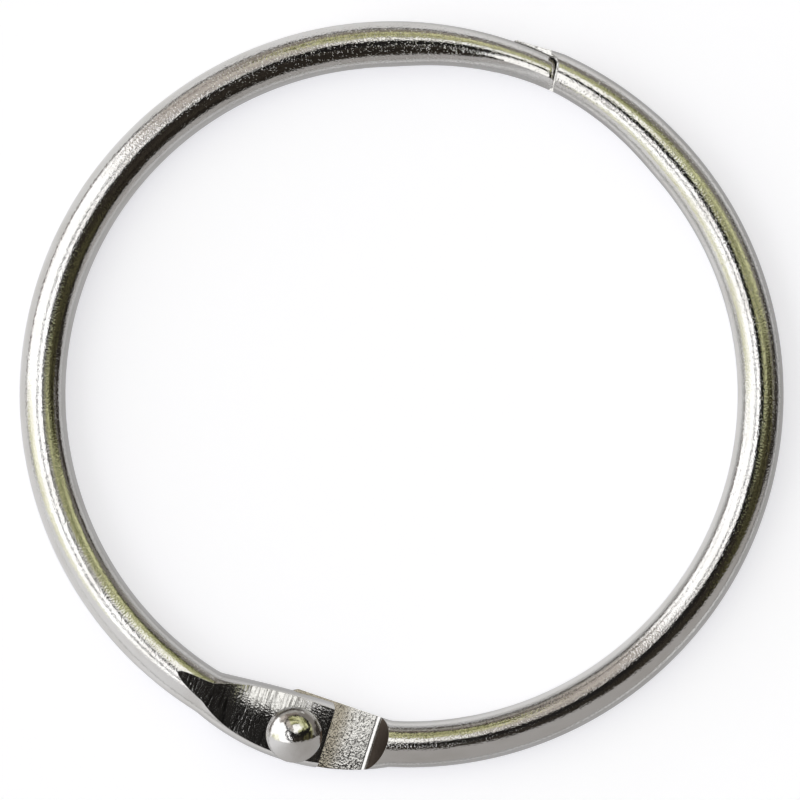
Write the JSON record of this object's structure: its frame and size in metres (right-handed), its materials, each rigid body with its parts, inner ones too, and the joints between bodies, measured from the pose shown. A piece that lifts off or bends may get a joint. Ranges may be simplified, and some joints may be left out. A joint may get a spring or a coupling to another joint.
{
  "type": "binder ring",
  "caption": "Split binder ring of round plated wire, hinged on a rivet and closed by a nose that lies in a lapped socket.",
  "frame": {"origin": "middle of the closed ring, on the surface that the ring lies on", "axes": "+Z up, out of the ring's front where the rivet's domed head is; +X right and +Y up as the ring is seen from the front with its hinge at the lower left"},
  "size_m": [0.0578, 0.0566, 0.0042],
  "materials": {
    "wire_plate": "bright nickel plate over drawn steel wire",
    "rivet_plate": "bright nickel plate, smooth headed rivet"
  },
  "bodies": {
    "fixed_half": {"right_half": "wire_plate", "hinge_rivet": "rivet_plate"},
    "swing_half": {"left_half": "wire_plate"}
  },
  "joints": [
    {"name": "ring_hinge", "type": "hinge", "parent": "fixed_half", "child": "swing_half", "pos_m": [-0.0081, -0.0257, 0.00175], "axis": [0, 0, 1], "range_deg": [0, 150]}
  ]
}
